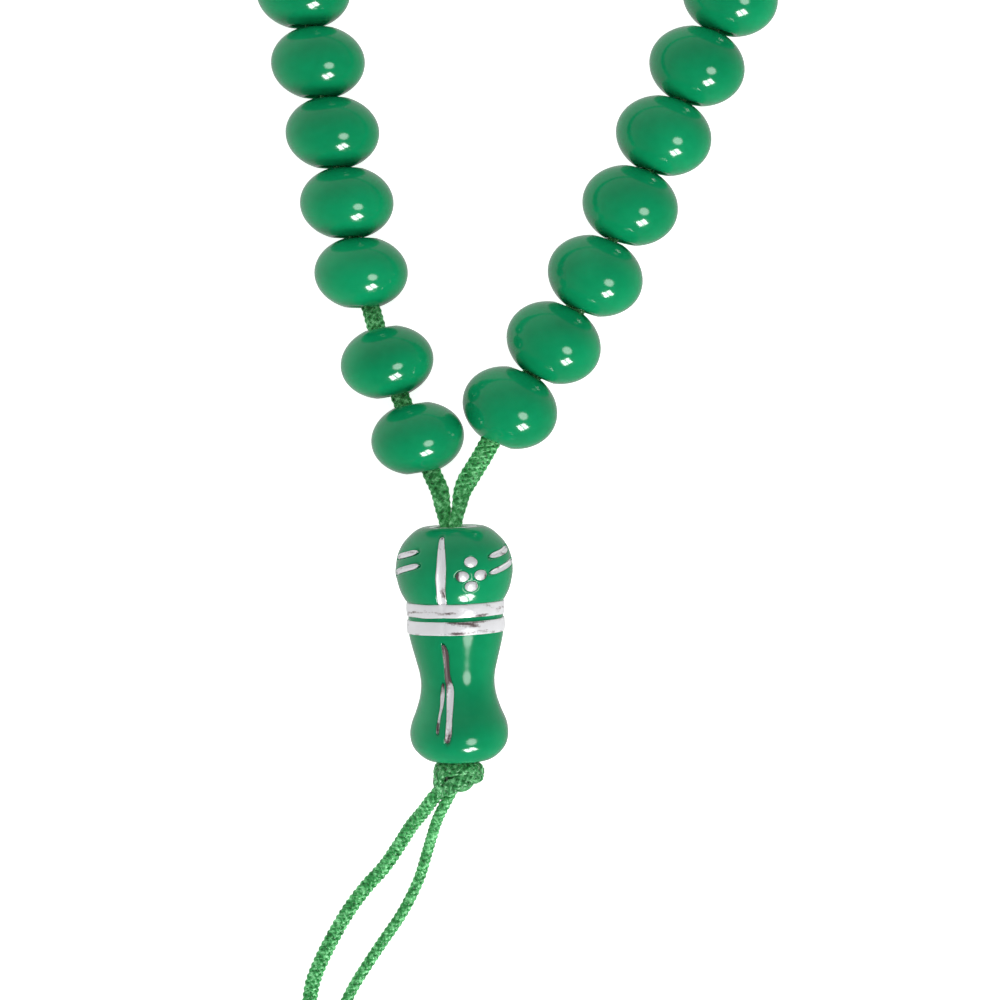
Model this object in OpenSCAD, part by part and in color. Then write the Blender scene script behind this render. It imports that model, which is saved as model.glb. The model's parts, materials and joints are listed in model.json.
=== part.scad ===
// A string of 33 prayer beads laid out flat. The long bead (the imam) lies along +Y with its foot
// at the lower end, the loop opens above it, and the two cord ends trail away below it.
// Z = 0 is the surface that it lies on.

/* [Beads] */
// Diameter of the first bead
first_bead_d = 7.85; // [6:0.05:12]
// Diameter of the last bead
last_bead_d = 8.15; // [6:0.05:12]
// Thickness of the first bead along its hole
first_bead_h = 5.75; // [4.5:0.05:8]
// Thickness of the last bead along its hole
last_bead_h = 6.4; // [4.5:0.05:8]
// Hole through each bead
bead_bore_d = 2.6; // [2:0.1:3.2]
// Diameter of the two flat divider beads
divider_d = 8; // [6:0.1:12]
// Thickness of the two flat divider beads
divider_h = 3; // [2:0.1:5]

/* [Cord] */
// Diameter of the braided cord
cord_d = 1; // [0.8:0.05:1.3]
// Bare cord between the long bead's mouth and the first bead
first_bare = 4.9; // [4:0.1:9]
// Bare cord between the last bead and the long bead's mouth
last_bare = 7.6; // [6.5:0.1:12]
// Slack left between the first bead and the second
first_slack = 0.95; // [0.9:0.05:3]
// Slack left between the second bead and the third
second_slack = 1.7; // [0.3:0.05:4]

/* [Loop] */
// Turn of the loop's centre line away from the long bead's axis
loop_turn = 8.7; // [4:0.1:12]
// Half of the angle between the two straight strands
strand_angle = 18.6; // [14:0.1:22]
// Direction of the strand that leaves the mouth on the first bead's side
first_lead = -20.2; // [-24:0.1:-16]
// Direction of the strand that leaves the mouth on the last bead's side
last_lead = 26; // [22:0.1:28]
// Direction of that strand where it comes out of the last bead
last_swing = 36; // [33:0.1:37]

/* [Long bead] */
// Length of the long bead
imam_len = 19.7; // [18.5:0.1:26]
// Diameter of its round head
head_d = 9.8; // [9:0.1:12]
// Radius of the head's outline
head_round = 4.36; // [4:0.02:4.9]
// Height of the middle of the head, below the mouth
head_drop = 3.7; // [3.4:0.05:3.9]
// Diameter of the neck that carries the two bands
neck_d = 8.1; // [7.4:0.1:9.4]
// Height of the waist above the foot end
waist_z = 6.35; // [5.8:0.05:7]
// Diameter of the waist
waist_d = 6.15; // [5.4:0.05:7]
// Radius of the outline between the waist and the neck
waist_round = 8.6; // [7.5:0.1:9.5]
// Diameter of the foot
foot_d = 8.2; // [7.6:0.1:9.5]
// Radius of the foot's outline
foot_round = 2.3; // [2.1:0.05:2.6]
// Hole through the long bead, for both strands of cord
imam_bore_d = 2.6; // [2.5:0.1:3.2]
// Width of the flared mouth
mouth_d = 3.6; // [3.2:0.1:4.2]
// Depth of the flare
flare_depth = 2.5; // [1.5:0.1:3.5]

/* [Metal inlays] */
// Height of each band
band_h = 1.1; // [0.8:0.05:1.2]
// Green groove left between the bands
band_gap = 0.35; // [0.25:0.05:0.5]
// How deep the bands sit in the neck
band_depth = 0.35; // [0.25:0.05:0.5]
// Thickness of the ring round the mouth
rim_wall = 0.3; // [0.25:0.05:0.45]
// How deep the small inlays sit
inlay_depth = 0.25; // [0.2:0.05:0.35]
// How far the metal stands above the bead
inlay_proud = 0.06; // [0.04:0.01:0.1]
// Width of each dot
dot_d = 0.85; // [0.6:0.05:1]
// Width of the upright stripe on the head
stripe_w = 0.6; // [0.4:0.05:0.8]
// Width of the slanted dashes
dash_w = 0.42; // [0.3:0.02:0.5]
// Width of the long stripe on the waist
streak_w = 0.4; // [0.3:0.05:0.6]

/* [Knots] */
// Width of the knot under the long bead
knot_w = 4.2; // [3.8:0.1:5]
// Height of the knot under the long bead
knot_h = 2.8; // [2.4:0.1:3.4]
// Width of the knot that joins the cord's two ends
end_knot_w = 3.4; // [3:0.1:4]
// Height of the knot that joins the cord's two ends
end_knot_h = 2.6; // [2.2:0.1:3]

/* [Hidden] */
$fn = 96;
bead_count = 33;
group = 11;              // beads between two dividers
pieces = bead_count + 2; // on the loop: beads and dividers
touch = 0.03;            // play between neighbours
seat = 0.05;             // play between pieces that rest on each other
cord_play = 0.16;        // least room between the cord and a bead's hole
repeats = 3;             // of each pattern round the long bead
first_bend_r = 8;        // radius of the cord's bend at the mouth, on the first side
last_bend_r = 4;         // and on the last side
first_run = 12.6;        // straight run from the mouth on the first side
last_run = 6;            // and on the last side
swing_r = 25;            // radius where the cord swings out in the last bead
swing_run = 6;           // straight run after that bead
first_ease_r = 30;       // radius where the first side eases into its straight
last_ease_r = 60;        // and the last side
level_run = 3;           // length over which the cord comes down to the beads' level
arc_degrees = PI / 180;

imam_bore_r = imam_bore_d / 2;
head_z = imam_len - head_drop;
head_x = head_d / 2 - head_round;
neck_r = neck_d / 2;
waist_r = waist_d / 2;
foot_x = foot_d / 2 - foot_round;
foot_rise = waist_z - foot_round;
foot_in = waist_r - foot_x;
// The lower arc of the waist runs smoothly into the foot.
lower_round = (foot_in ^ 2 + foot_rise ^ 2 - foot_round ^ 2) / (2 * (foot_round - foot_in));
head_base = head_z - sqrt(head_round ^ 2 - (neck_r - head_x) ^ 2);
band_top = head_base;
lower_band_top = band_top - band_h - band_gap;
neck_base = lower_band_top - band_h;

// The long bead lies on its head and its foot, so its axis rises a little towards the mouth.
imam_slope = asin((head_round - foot_round) / norm([head_z - foot_round, foot_x - head_x]))
    - atan((foot_x - head_x) / (head_z - foot_round));
foot_level = foot_round + foot_x * cos(imam_slope);
mouth_level = foot_level + (imam_len - foot_round) * sin(imam_slope);
end_level = foot_level - foot_round * sin(imam_slope);
foot_y = -imam_len * cos(imam_slope);
bead_level = max(first_bead_d, last_bead_d, divider_d) / 2;
leg_x = cord_d / 2 + touch + 0.02; // each strand's distance from the long bead's axis

// Pieces on the loop, counted from 0: beads, with a divider after each full group but the last.
function is_divider(k) = k == group || k == 2 * group + 1;
function bead_no(k) = k < group ? k + 1 : k < 2 * group + 1 ? k : k - 1;
function share(k) = (bead_no(k) - 1) / (bead_count - 1);
function thick(k) = is_divider(k) ? divider_h : first_bead_h + (last_bead_h - first_bead_h) * share(k);
function wide(k) = is_divider(k) ? divider_d : first_bead_d + (last_bead_d - first_bead_d) * share(k);
function flat(k) = (wide(k) - thick(k)) / 2;

// Each bead leans on the cord as far as its hole lets it, more upright than its strand.
function most_lean(k, bow = 0) = atan(((bead_bore_d - cord_d) / 2 - cord_play - bow) / (thick(k) / 2));
lean_fade = 3 * first_bead_h;

// A route is a list of stretches: [length, direction at its start, direction at its end].
function along(start, part, t) =
    let (turn = part[2] - part[1], there = part[1] + turn * t / part[0], r = part[0] / (turn * arc_degrees))
    abs(turn) < 0.001
    ? start + t * [sin(part[1]), cos(part[1])]
    : start + r * [cos(part[1]) - cos(there), sin(there) - sin(part[1])];
function walk(start, route, s, i = 0) =
    i == len(route) - 1 || s <= route[i][0]
    ? along(start, route[i], s)
    : walk(along(start, route[i], route[i][0]), route, s - route[i][0], i + 1);
function direction(route, s, i = 0) =
    i == len(route) - 1 || s <= route[i][0]
    ? route[i][1] + (route[i][2] - route[i][1]) * s / route[i][0]
    : direction(route, s - route[i][0], i + 1);
function total(list, i = 0) = i == len(list) ? 0 : list[i] + total(list, i + 1);
function lengths(route) = [for (part = route) part[0]];
function turned(p, angle) = [p[0] * cos(angle) - p[1] * sin(angle), p[0] * sin(angle) + p[1] * cos(angle)];
function bend(r, from, to) = [r * abs(to - from) * arc_degrees, from, to];

first_side = loop_turn - strand_angle;
last_side = loop_turn + strand_angle;
mouth_first = [-leg_x, 0];
mouth_last = [leg_x, 0];
out_first = [
    bend(first_bend_r, 0, first_lead), [first_run, first_lead, first_lead],
    bend(first_ease_r, first_lead, first_side)
];
out_last = [
    bend(last_bend_r, 0, last_lead), [last_run, last_lead, last_lead], bend(swing_r, last_lead, last_swing),
    [swing_run, last_swing, last_swing], bend(last_ease_r, last_swing, last_side)
];
first_end = turned(walk(mouth_first, out_first, total(lengths(out_first))), loop_turn);
last_end = turned(walk(mouth_last, out_last, total(lengths(out_last))), loop_turn);
arc_turn = 180 + 2 * strand_angle;

// The whole loop for a given length: two straights and one round arc that closes them.
function loop_route(whole) =
    let (
        rest = whole - total(lengths(out_first)) - total(lengths(out_last)),
        width = last_end[0] - first_end[0],
        both = (rest - width * arc_turn * arc_degrees / (2 * cos(strand_angle)))
            / (1 + tan(strand_angle) * arc_turn * arc_degrees / 2),
        r = (width + both * sin(strand_angle)) / (2 * cos(strand_angle)),
        more = (last_end[1] - first_end[1]) / cos(strand_angle),
        back = [for (i = [len(out_last) - 1:-1:0])
            [out_last[i][0], 180 + out_last[i][2], 180 + out_last[i][1]]]
    )
    concat(
        out_first,
        [[(both + more) / 2, first_side, first_side]],
        [[r * arc_turn * arc_degrees, first_side, 180 + last_side]],
        [[(both - more) / 2, 180 + last_side, 180 + last_side]],
        back
    );
function arc_start(route) = total([for (i = [0:3]) route[i][0]]);
function arc_end(route) = arc_start(route) + route[4][0];

// Directions are measured from +Y towards +X. The lean fades out before the arc, and is less where the
// cord bows inside the hole.
function bow(k, route, s) =
    thick(k) / 8 * arc_degrees * abs(direction(route, s + thick(k) / 2) - direction(route, s - thick(k) / 2));
function lean(k, route, s) =
    let (ahead = arc_start(route) - s, behind = s - arc_end(route))
    most_lean(k, bow(k, route, s)) * (min(1, max(0, ahead / lean_fade)) - min(1, max(0, behind / lean_fade)));
function axis_direction(k, route, s) = direction(route, s) + lean(k, route, s);

// Stations are the places of the pieces' centres along the cord.
function pace(k, wedge) = thick(k) / 2 / cos(most_lean(k)) + thick(k + 1) / 2 / cos(most_lean(k + 1))
    + (k == 0 ? first_slack : k == 1 ? second_slack : touch) + wedge;
function stations(wedges) = [
    for (k = 0, s = first_bare + thick(0) / 2; k < pieces;
        s = s + (k < pieces - 1 ? pace(k, wedges[k]) : 0), k = k + 1) s
];
function whole_length(at) = at[pieces - 1] + thick(pieces - 1) / 2 + last_bare;
rough_at = stations([for (k = [0:pieces]) 0]);
rough_route = loop_route(whole_length(rough_at));
// Where neighbours turn against each other, their inner edges need room.
wedges = [for (k = [0:pieces - 2])
    abs(axis_direction(k + 1, rough_route, rough_at[k + 1]) - axis_direction(k, rough_route, rough_at[k]))
        * arc_degrees * (flat(k) + flat(k + 1)) / 2];
at = stations(wedges);
loop_len = whole_length(at);
route = loop_route(loop_len);
centres = [for (k = [0:pieces - 1]) walk(mouth_first, route, at[k])];
axes = [for (k = [0:pieces - 1]) axis_direction(k, route, at[k])];

// The origin is the middle of the beads' plan, so it follows every size.
function reach_x(k) = flat(k) * abs(cos(axes[k])) + thick(k) / 2;
function reach_y(k) = flat(k) * abs(sin(axes[k])) + thick(k) / 2;
knot_drop = seat + knot_h / 2;
knot_y = foot_y - knot_drop * cos(imam_slope);
low_x = min([for (k = [0:pieces - 1]) centres[k][0] - reach_x(k)]);
high_x = max([for (k = [0:pieces - 1]) centres[k][0] + reach_x(k)]);
high_y = max([for (k = [0:pieces - 1]) centres[k][1] + reach_y(k)]);
mouth_at = [-(low_x + high_x) / 2, -(knot_y - knot_h / 2 + high_y) / 2];

// The loop cord's centre line: up through the long bead, round the loop and down again.
loop_rings = 66;
leg_steps = 6;
function level(s) = let (t = min(1, min(s, loop_len - s) / level_run))
    bead_level + (mouth_level - bead_level) * (1 + cos(180 * t)) / 2;
function in_imam(x, z) = [x, (z - imam_len) * cos(imam_slope), mouth_level + (z - imam_len) * sin(imam_slope)];
first_leg = [for (i = [0:leg_steps - 1]) in_imam(-leg_x, -seat + (imam_len + seat) * i / leg_steps)];
last_leg = [for (i = [leg_steps - 1:-1:0]) in_imam(leg_x, -seat + (imam_len + seat) * i / leg_steps)];
loop_line = [for (i = [0:loop_rings]) let (s = loop_len * i / loop_rings, p = walk(mouth_first, route, s))
    [p[0], p[1], level(s)]];
cord_line = concat(first_leg, loop_line, last_leg);

// The two free ends, from the middle of the knot: they drop to the surface and lie there.
tail_level = cord_d / 2;
first_tail = [
    [-2, -1.5, 3.5], [-3, -2.8, 2.6], [-4.2, -4.1, 1.6], [-5.6, -5.7, 0.7], [-7.2, -7.6, 0],
    [-8.7, -9.3, 0], [-10, -11.2, 0], [-11.1, -13.2, 0], [-12, -15.2, 0], [-12.6, -17.3, 0],
    [-12.9, -19.4, 0], [-13.2, -21.5, 0], [-13.6, -23.5, 0], [-14.2, -25.5, 0], [-15, -27.4, 0]
];
last_tail = [
    [-1.1, -2.3, 3.5], [-1.7, -3.6, 2.6], [-2.2, -5, 1.6], [-2.8, -6.6, 0.7], [-3.6, -8.4, 0],
    [-4.7, -10.2, 0], [-5.9, -12, 0], [-7.1, -13.9, 0], [-8.3, -15.8, 0], [-9.4, -17.8, 0],
    [-10.4, -19.8, 0], [-11.4, -21.8, 0], [-12.2, -23.8, 0], [-12.9, -25.8, 0], [-13.8, -27.8, 0]
];
end_knot_at = [-14.9, -28.9];
end_knot_turn = 20;

bead_names = [for (n = [1:bead_count]) str("bead_", n < 10 ? "0" : "", n)];

// A round disc with a full round edge, lying on its side with its axis along `heading`.
module rounded_disc(d, h, bore) {
    rotate_extrude() difference() {
        union() {
            translate([(d - h) / 2, 0]) circle(d = h);
            translate([0, -h / 2]) square([(d - h) / 2, h]);
        }
        translate([-h, -h]) square([h + bore / 2, 2 * h]);
    }
}

// Turns a piece made along +Z so that it lies along a direction in plan.
module lying(heading) {
    rotate([0, 0, -heading]) rotate([-90, 0, 0]) children();
}

module string_piece(k) {
    translate([mouth_at[0] + centres[k][0], mouth_at[1] + centres[k][1], bead_level])
        lying(axes[k]) rounded_disc(wide(k), thick(k), bead_bore_d);
}

module bead(n) {
    color("mediumseagreen") string_piece(n - 1 + floor((n - 1) / group));
}

module divider(n) {
    color("seagreen") string_piece(n * group + n - 1);
}

// Places a piece that is made with its foot at 0 and its mouth up +Z. Its front turns upwards.
module at_imam() {
    translate([mouth_at[0], mouth_at[1] + foot_y, end_level]) rotate([imam_slope - 90, 0, 0]) children();
}

// The long bead's outline, grown or shrunk all round by the same amount.
module imam_outline(grow) {
    difference() {
        union() {
            intersection() {
                translate([head_x, head_z]) circle(head_round + grow);
                translate([0, head_base]) square([head_d, imam_len - head_base]);
            }
            difference() {
                translate([0, waist_z]) square([neck_r + grow, head_base - waist_z]);
                translate([waist_r + waist_round, waist_z]) circle(waist_round - grow);
            }
            difference() {
                translate([0, foot_round]) square([foot_d / 2, waist_z - foot_round]);
                translate([waist_r + lower_round, waist_z]) circle(lower_round - grow);
                translate([foot_x, foot_round]) square([foot_d, foot_join(grow)]);
            }
            translate([foot_x, foot_round]) circle(foot_round + grow);
            square([foot_x, foot_round]);
            square([waist_r - 2 * inlay_depth, head_z]);
        }
        translate([-foot_d, -foot_d]) square([foot_d, imam_len + 2 * foot_d]);
    }
}
// How far above the foot's centre its outline runs into the waist's.
function foot_join(grow) = foot_rise * (foot_round + grow) / (foot_round + lower_round);

// The thin layer of the long bead that the metal lies in.
module inlay_layer() {
    rotate_extrude() difference() {
        imam_outline(inlay_proud);
        imam_outline(-inlay_depth);
    }
}

// Repeats a pattern round the long bead, and keeps the part of it inside the thin layer.
module inlaid() {
    intersection() {
        inlay_layer();
        for (i = [0:repeats - 1]) rotate([0, 0, i * 360 / repeats]) children();
    }
}

// A pattern's own place: an angle round the bead from its front, and a height.
module outward(angle, z) {
    rotate([0, 0, angle]) translate([0, 0, z]) rotate([90, 0, 0]) children();
}

stripe_at = -13;
stripe_low = band_top;
stripe_high = head_z + 2.9;
module head_stripes() {
    inlaid() outward(stripe_at, (stripe_low + stripe_high) / 2)
        linear_extrude(head_d) square([stripe_w, stripe_high - stripe_low], center = true);
}

dots_at = 16;
dots_z = head_z - 0.15;
dot_reach = 0.95;
module head_dots() {
    inlaid() outward(dots_at, dots_z) for (turn = [0:90:270])
        rotate([0, 0, turn]) translate([dot_reach, 0, 0]) cylinder(h = head_d, d = dot_d);
}

dashes_at = -59;
dashes_z = head_z + 1;
dash_len = 3;
dash_pitch = 1.2;
dash_slant = 12;
module head_dashes() {
    inlaid() outward(dashes_at, dashes_z) linear_extrude(head_d) for (side = [-1, 1])
        translate([0, side * dash_pitch / 2]) rotate(dash_slant) dash();
}

module dash() {
    square([dash_len - dash_w, dash_w], center = true);
    for (end = [-1, 1]) translate([end * (dash_len - dash_w) / 2, 0]) circle(d = dash_w);
}

streak_at = -13;
streak_low = 1.9;
streak_slant = 3;
module waist_streaks() {
    streak_len = neck_base - streak_low;
    inlaid() outward(streak_at, streak_low + streak_len / 2)
        linear_extrude(head_d) rotate(streak_slant) square([streak_w, streak_len - streak_w], center = true);
}

module band(top) {
    translate([0, 0, top - band_h]) rotate_extrude()
        translate([neck_r - band_depth, 0]) square([band_depth + inlay_proud, band_h]);
}

module mouth_rim() {
    translate([0, 0, imam_len - inlay_depth]) rotate_extrude()
        translate([mouth_d / 2, 0]) square([rim_wall, inlay_depth + inlay_proud]);
}

module imam_body() {
    color("seagreen") at_imam() difference() {
        rotate_extrude() imam_outline(0);
        translate([0, 0, -1]) cylinder(h = imam_len + 2, r = imam_bore_r);
        translate([0, 0, imam_len - flare_depth]) cylinder(h = flare_depth, r1 = imam_bore_r, r2 = mouth_d / 2);
        translate([0, 0, imam_len]) cylinder(h = 1, r = mouth_d / 2);
        band(band_top);
        band(lower_band_top);
        mouth_rim();
        head_stripes();
        head_dots();
        head_dashes();
        waist_streaks();
    }
}

module imam_upper_band() { color("silver") at_imam() band(band_top); }
module imam_lower_band() { color("silver") at_imam() band(lower_band_top); }
module imam_mouth_rim() { color("silver") at_imam() mouth_rim(); }
module imam_head_stripes() { color("silver") at_imam() head_stripes(); }
module imam_head_dots() { color("silver") at_imam() head_dots(); }
module imam_head_dashes() { color("silver") at_imam() head_dashes(); }
module imam_waist_streaks() { color("silver") at_imam() waist_streaks(); }

// A round cord swept along a line of points, with flat ends.
function unit(v) = v / norm(v);
function heading_at(line, i) = unit(line[min(i + 1, len(line) - 1)] - line[max(i - 1, 0)]);
function ring(line, i, d, sides) =
    let (ahead = heading_at(line, i), side = unit(cross(ahead, [0, 0, 1])), up = cross(side, ahead))
    [for (j = [0:sides - 1]) line[i] + d / 2 * (cos(360 * j / sides) * side + sin(360 * j / sides) * up)];
module tube(line, d, sides = 8) {
    last = len(line) - 1;
    polyhedron(
        points = [for (i = [0:last]) each ring(line, i, d, sides)],
        faces = concat(
            [[for (j = [0:sides - 1]) j]],
            [for (i = [0:last - 1], j = [0:sides - 1]) let (k = (j + 1) % sides)
                each [[i * sides + j, (i + 1) * sides + j, (i + 1) * sides + k],
                    [i * sides + j, (i + 1) * sides + k, i * sides + k]]],
            [[for (j = [sides - 1:-1:0]) last * sides + j]]
        )
    );
}

module loop_cord() {
    color("limegreen") translate([mouth_at[0], mouth_at[1], 0]) tube(cord_line, cord_d);
}

module at_knot() {
    translate([mouth_at[0], mouth_at[1] + knot_y, 0]) children();
}

module knot() {
    color("limegreen") at_imam() translate([0, 0, -knot_drop]) rounded_disc(knot_w, knot_h, 0);
}

module tail(line) {
    color("limegreen") at_knot() tube([for (p = line) [p[0], p[1], tail_level + p[2]]], cord_d);
}

module first_tail() { tail(first_tail); }
module last_tail() { tail(last_tail); }

module end_knot() {
    color("limegreen") at_knot() translate([end_knot_at[0], end_knot_at[1], end_knot_w / 2])
        lying(180 + end_knot_turn) rounded_disc(end_knot_w, end_knot_h, 0);
}

for (n = [1:bead_count]) bead(n);
divider(1);  // divider_1
divider(2);  // divider_2
imam_body();
imam_upper_band();
imam_lower_band();
imam_mouth_rim();
imam_head_stripes();
imam_head_dots();
imam_head_dashes();
imam_waist_streaks();
loop_cord();
knot();
first_tail();
last_tail();
end_knot();
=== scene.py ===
import json
import math
import random
import bmesh
import bpy
import numpy as np
from mathutils import Matrix, Vector, noise

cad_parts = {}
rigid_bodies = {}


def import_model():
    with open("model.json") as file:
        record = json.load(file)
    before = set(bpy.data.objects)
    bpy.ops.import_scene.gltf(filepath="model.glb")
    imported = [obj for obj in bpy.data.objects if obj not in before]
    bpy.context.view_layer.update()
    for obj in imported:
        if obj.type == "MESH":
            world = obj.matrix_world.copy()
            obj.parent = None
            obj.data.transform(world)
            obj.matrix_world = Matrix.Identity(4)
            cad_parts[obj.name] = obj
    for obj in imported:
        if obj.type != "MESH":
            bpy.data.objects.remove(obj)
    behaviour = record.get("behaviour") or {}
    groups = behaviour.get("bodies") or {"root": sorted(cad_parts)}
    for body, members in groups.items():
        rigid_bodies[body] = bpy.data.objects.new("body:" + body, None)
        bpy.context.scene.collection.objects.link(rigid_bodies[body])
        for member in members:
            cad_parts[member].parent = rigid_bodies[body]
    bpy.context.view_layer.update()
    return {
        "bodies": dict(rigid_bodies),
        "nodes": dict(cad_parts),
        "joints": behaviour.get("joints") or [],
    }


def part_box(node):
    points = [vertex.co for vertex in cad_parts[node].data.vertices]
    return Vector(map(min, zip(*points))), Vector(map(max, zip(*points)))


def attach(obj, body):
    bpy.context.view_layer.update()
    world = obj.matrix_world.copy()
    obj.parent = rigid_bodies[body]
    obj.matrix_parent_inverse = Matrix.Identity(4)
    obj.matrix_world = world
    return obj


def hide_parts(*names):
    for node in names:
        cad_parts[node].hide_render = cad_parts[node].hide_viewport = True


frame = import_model()

mm = 0.001
up = Vector((0, 0, 1))
fullTurn = 2 * math.pi
lineStep = 0.1 * mm     # between the points of a cord's middle line
weldGap = 1e-7          # points this close are one


def middle(node):
    low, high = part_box(node)
    return (low + high) / 2


# The long bead slides along its own axis.
imamSlide = next(joint for joint in frame["joints"] if joint["name"] == "imam_slide")
imamAxis = Vector(imamSlide["axis"]).normalized()
mouth = middle("imam_mouth_rim")
knotCentre = middle("knot")
stoneNames = [n for n in frame["bodies"] if n.startswith(("bead_", "divider_"))]

# Straight above the long bead and the first beads; right and ahead are from the mouth.
camera = {"above": 0.3, "seenWidth": 0.0835, "turn": 1.7, "right": 0.00399, "ahead": 0.00213}


def makeCamera():
    data = bpy.data.cameras.new("camera")
    data.lens = data.sensor_width * camera["above"] / camera["seenWidth"]
    holder = bpy.data.objects.new("camera", data)
    bpy.context.scene.collection.objects.link(holder)
    holder.location = mouth + Vector((camera["right"], camera["ahead"], camera["above"]))
    holder.rotation_euler = (0, 0, math.radians(-camera["turn"]))
    bpy.context.scene.camera = holder


# A socket that takes part in sums.
class Value:
    def __init__(self, paint, socket):
        self.paint = paint
        self.socket = socket

    def __add__(self, other):
        return self.paint.sum("ADD", self, other)

    def __radd__(self, other):
        return self.paint.sum("ADD", other, self)

    def __sub__(self, other):
        return self.paint.sum("SUBTRACT", self, other)

    def __rsub__(self, other):
        return self.paint.sum("SUBTRACT", other, self)

    def __mul__(self, other):
        return self.paint.sum("MULTIPLY", self, other)

    def __rmul__(self, other):
        return self.paint.sum("MULTIPLY", other, self)


# The node tree of one material or of the world.
class Paint:
    def __init__(self, owner):
        self.owner = owner
        owner.use_nodes = True
        self.tree = owner.node_tree
        self.tree.nodes.clear()

    def node(self, kind, settings, inputs):
        made = self.tree.nodes.new(kind)
        for name, value in settings.items():
            if name == "stops":
                self.setStops(made.color_ramp, value)
            else:
                setattr(made, name, value)
        for name, value in inputs.items():
            if isinstance(value, Value):
                self.tree.links.new(value.socket, made.inputs[name])
            else:
                made.inputs[name].default_value = value
        return made

    def setStops(self, ramp, stops):
        while len(ramp.elements) < len(stops):
            ramp.elements.new(0.5)
        for element, (place, colour) in zip(ramp.elements, stops):
            element.position = place
            element.color = (*colour, 1)

    def out(self, node, name):
        return Value(self, node.outputs[name])

    def sum(self, operation, a, b):
        made = self.node("ShaderNodeMath", {"operation": operation}, {0: a, 1: b})
        return self.out(made, "Value")

    def noise(self, place, scale, detail=2.0):
        inputs = {"Vector": place, "Scale": scale, "Detail": detail}
        return self.out(self.node("ShaderNodeTexNoise", {}, inputs), "Fac")

    def ramp(self, factor, stops):
        return self.out(self.node("ShaderNodeValToRGB", {"stops": stops}, {"Fac": factor}), "Color")

    def bump(self, height, strength, distance):
        inputs = {"Height": height, "Strength": strength, "Distance": distance}
        return self.out(self.node("ShaderNodeBump", {}, inputs), "Normal")

    def finish(self, inputs):
        skin = self.node("ShaderNodeBsdfPrincipled", {}, inputs)
        self.node("ShaderNodeOutputMaterial", {}, {"Surface": self.out(skin, "BSDF")})
        return self.owner


def newPaint(name):
    paint = Paint(bpy.data.materials.new(name))
    paint.place = paint.out(paint.node("ShaderNodeTexCoord", {}, {}), "Object")
    return paint


jadeLook = {
    "clouds": 190.0, "specks": 1400.0, "ripples": 420.0, "speckShare": 0.2, "speckDull": 0.06,
    "deepUntil": 0.3, "lightFrom": 0.68, "rippleStrength": 0.12, "rippleDepth": 0.12 * mm,
    # the deep and the light green of each, and how dull it is
    "polished jade": ((0.002, 0.25, 0.092), (0.004, 0.33, 0.125), 0.1),
    "carved jade": ((0.002, 0.235, 0.088), (0.004, 0.31, 0.118), 0.12),
}


def jadePaint(name):
    deep, light, dull = jadeLook[name]
    paint = newPaint(name)
    clouds = paint.noise(paint.place, jadeLook["clouds"], 3.0)
    specks = paint.noise(paint.place, jadeLook["specks"], 4.0)
    ripples = paint.noise(paint.place, jadeLook["ripples"], 1.0)
    mixed = clouds * (1 - jadeLook["speckShare"]) + specks * jadeLook["speckShare"]
    stops = [(jadeLook["deepUntil"], deep), (jadeLook["lightFrom"], light)]
    return paint.finish({
        "Base Color": paint.ramp(mixed, stops),
        "Roughness": dull + specks * jadeLook["speckDull"],
        "Normal": paint.bump(ripples, jadeLook["rippleStrength"], jadeLook["rippleDepth"]),
        "IOR": 1.5,
        "Coat Weight": 0.5,
        "Coat Roughness": 0.04,
        "Subsurface Weight": 0.12,
        "Subsurface Radius": (0.2, 1.0, 0.5),
        "Subsurface Scale": 0.0008,
    })


foilLook = {
    "stains": 900.0, "creases": 1500.0, "grain": 6000.0, "grainShare": 0.15, "grainDepth": 0.3,
    # painted reflection: the foil is painted darker within these distances of the spot that faces
    # the camera
    "reflectionWithin": 0.5 * mm, "reflectionUntil": 3 * mm, "reflectionBy": 0.14,
    "bright": (0.93, 0.93, 0.95), "dull": (0.6, 0.57, 0.57), "darkest": (0.16, 0.12, 0.12),
    "brightUntil": -0.05, "darkestFrom": 0.06,     # either side of where the foil is dull
    "smooth": 0.22, "creaseDull": 0.2, "creaseStrength": 0.35, "creaseDepth": 0.1 * mm,
    # how the streaks of each are stretched, where they turn dull, and the spot painted darkest
    # where the foil faces the camera: a painted dark reflection
    "band foil": ((0.3, 2.2, 0.6), 0.64, (0.1, -4.1, 12.1)),
    "inlaid foil": ((1.3, 0.5, 1.0), 0.53, (-0.7, -3.6, 9.5)),
}


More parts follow.
